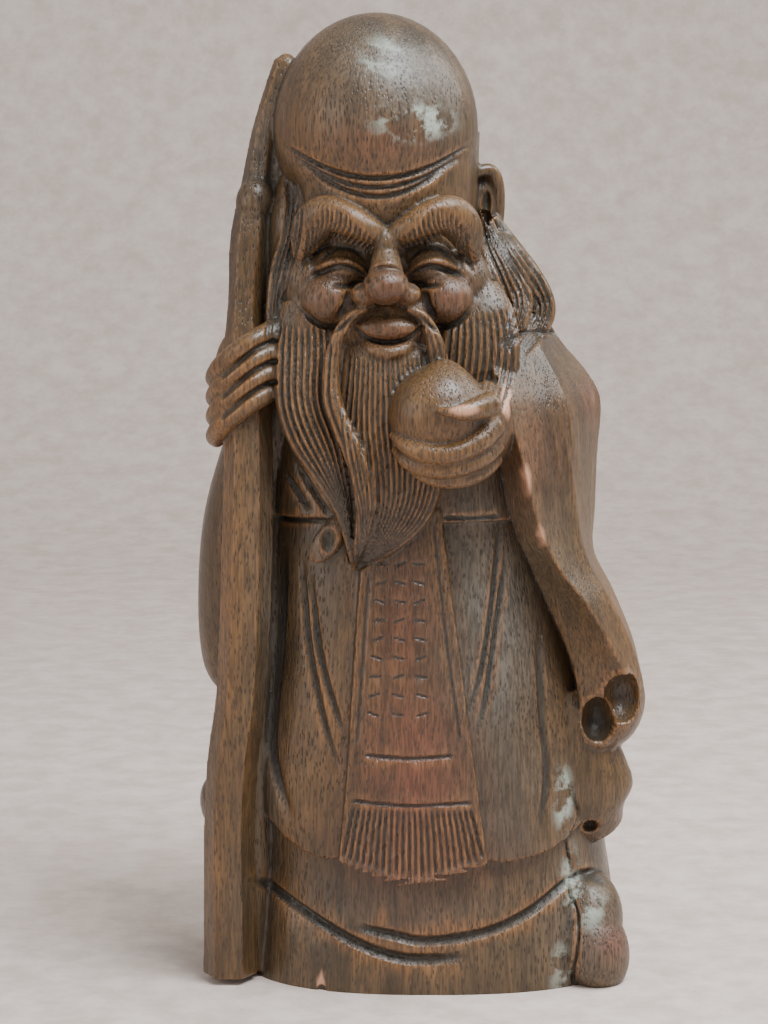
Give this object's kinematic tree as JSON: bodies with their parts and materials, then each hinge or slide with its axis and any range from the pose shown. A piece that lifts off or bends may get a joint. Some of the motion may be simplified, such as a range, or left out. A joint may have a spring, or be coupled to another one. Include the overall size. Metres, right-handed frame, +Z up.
{
  "type": "carved wooden shoulao figure",
  "caption": "Carved dark-wood figure of the old man of long life, bearded, with a high bald head, holding a staff and a peach, standing upright on its flat base.",
  "frame": {"origin": "middle of the figure's footprint, on its flat underside", "axes": "+Z up the figure, -Y out of its face, +X to the viewer's right"},
  "size_m": [0.1218, 0.0938, 0.2597],
  "materials": {
    "carved_wood": "old oiled finish, glossy where worn"
  },
  "bodies": {
    "root": {"shoulao_figure": "carved_wood"}
  },
  "joints": []
}
